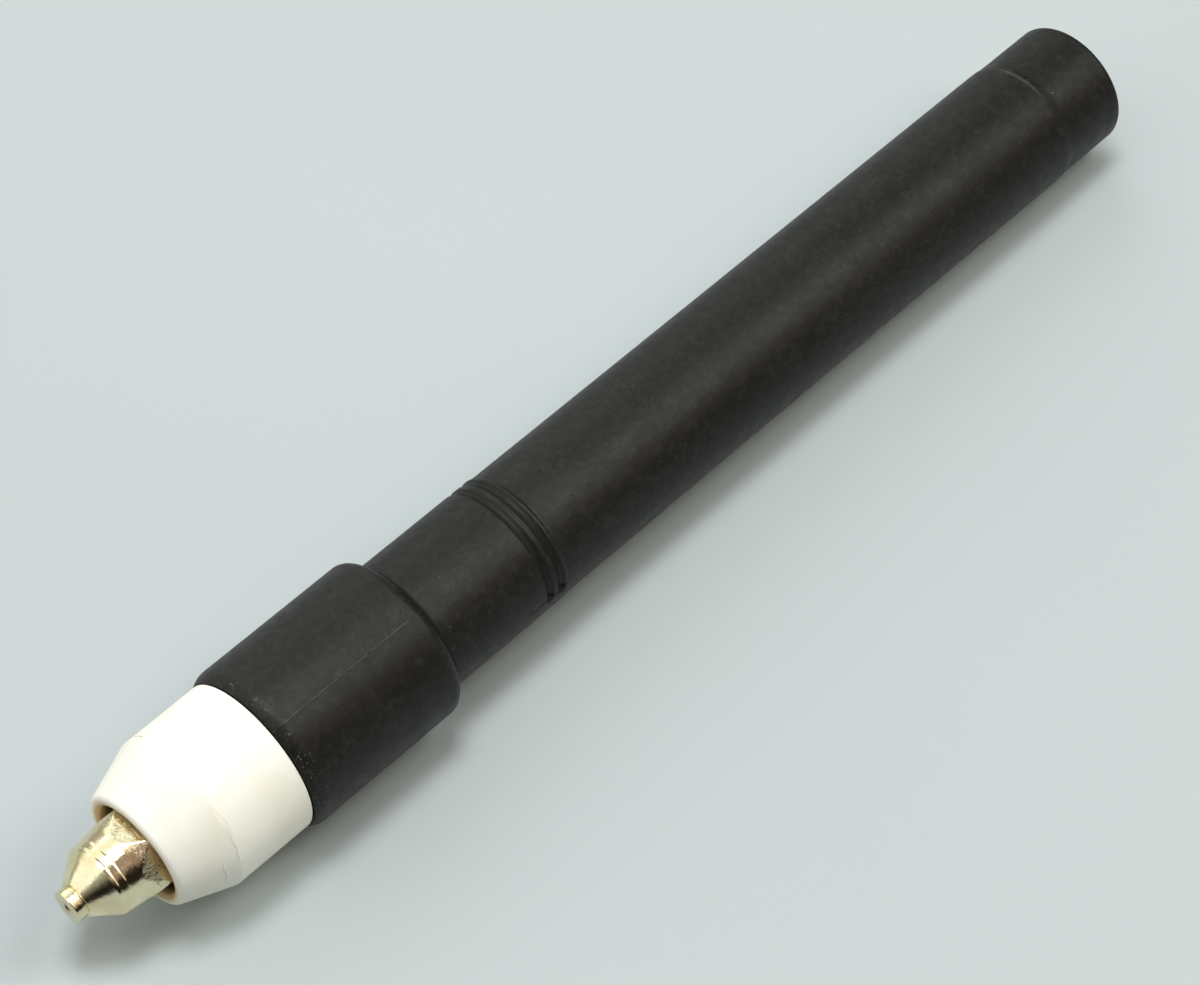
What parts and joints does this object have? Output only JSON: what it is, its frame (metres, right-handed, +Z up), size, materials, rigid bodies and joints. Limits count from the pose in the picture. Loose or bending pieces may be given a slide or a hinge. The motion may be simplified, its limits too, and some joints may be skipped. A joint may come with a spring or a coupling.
{
  "type": "straight plasma cutting torch",
  "caption": "Straight plasma cutting torch: screw-on white ceramic shield cup, plated hexagon nozzle, black head sleeve and a tube handle that a holder clamps.",
  "frame": {"origin": "on the torch axis at the middle of the handle's plain round length, where a machine holder clamps it", "axes": "+X along the torch axis towards the cable end, so the nozzle points along -X; +Z up; +Y across"},
  "size_m": [0.2389, 0.03, 0.03],
  "materials": {
    "nozzle_plating": "turned copper with a pale gold nickel plating, fine milling marks on the flats",
    "seal_rubber": "soft moulded rubber",
    "cup_seal_rubber": "soft moulded rubber",
    "electrode_copper": "turned copper",
    "hafnium": "drawn wire, dull grey",
    "swirl_resin": "machined heat-proof resin",
    "cup_ceramic": "fine unglazed ceramic with faint brown marks",
    "insert_brass": "turned brass",
    "seat_brass": "turned brass",
    "cathode_brass": "turned brass",
    "insulator_resin": "machined insulating resin",
    "head_phenolic": "moulded phenolic",
    "sleeve_black": "satin moulded plastic with a fine mould line and scuffs",
    "handle_black": "satin moulded plastic",
    "bush_black": "moulded plastic",
    "screw_steel": "plated steel",
    "tube_copper": "drawn copper tube",
    "heat_shrink": "shrunk polyolefin sleeve",
    "spacer_nylon": "moulded nylon",
    "connector_brass": "turned brass",
    "terminal_brass": "plated brass",
    "wire_silicone": "silicone wire insulation"
  },
  "bodies": {
    "torch_body": {"electrode": "electrode_copper", "emitter": "hafnium", "swirl_ring": "swirl_resin", "nozzle_seat": "seat_brass", "cathode_body": "cathode_brass", "cathode_seals": "seal_rubber", "inner_insulator": "insulator_resin", "head_moulding": "head_phenolic", "handle_tube": "handle_black", "handle_screws": "screw_steel", "rear_bush": "bush_black", "gas_tube": "tube_copper", "tube_insulation": "heat_shrink", "tube_spacers": "spacer_nylon", "gas_connector": "connector_brass", "pilot_lug": "terminal_brass", "pilot_wire": "wire_silicone", "pilot_terminal": "terminal_brass"},
    "nozzle_carrier": {"nozzle_seal": "seal_rubber"},
    "nozzle_body": {"nozzle": "nozzle_plating"},
    "cup_carrier": {"cup_seal": "cup_seal_rubber"},
    "cup_body": {"shield_cup": "cup_ceramic", "cup_insert": "insert_brass"},
    "sleeve_body": {"head_sleeve": "sleeve_black"}
  },
  "joints": [
    {"name": "cup_travel", "type": "slide", "parent": "torch_body", "child": "cup_carrier", "axis": [-1, 0, 0], "range_m": [0, 0.009]},
    {"name": "cup_turn", "type": "hinge", "parent": "cup_carrier", "child": "cup_body", "pos_m": [-0.1249, 0, 0], "axis": [-1, 0, 0], "range_deg": [0, 1620]},
    {"name": "nozzle_travel", "type": "slide", "parent": "torch_body", "child": "nozzle_carrier", "axis": [-1, 0, 0], "range_m": [0, 0.006]},
    {"name": "nozzle_turn", "type": "hinge", "parent": "nozzle_carrier", "child": "nozzle_body", "pos_m": [-0.1384, 0, 0], "axis": [-1, 0, 0], "range_deg": [0, 1440]},
    {"name": "sleeve_slide", "type": "slide", "parent": "torch_body", "child": "sleeve_body", "axis": [1, 0, 0], "range_m": [0, 0.02]}
  ],
  "couplings": [
    {"joint": "cup_turn", "follows": "cup_travel", "rad_per_m": 3141.6},
    {"joint": "nozzle_turn", "follows": "nozzle_travel", "rad_per_m": 4188.8}
  ]
}
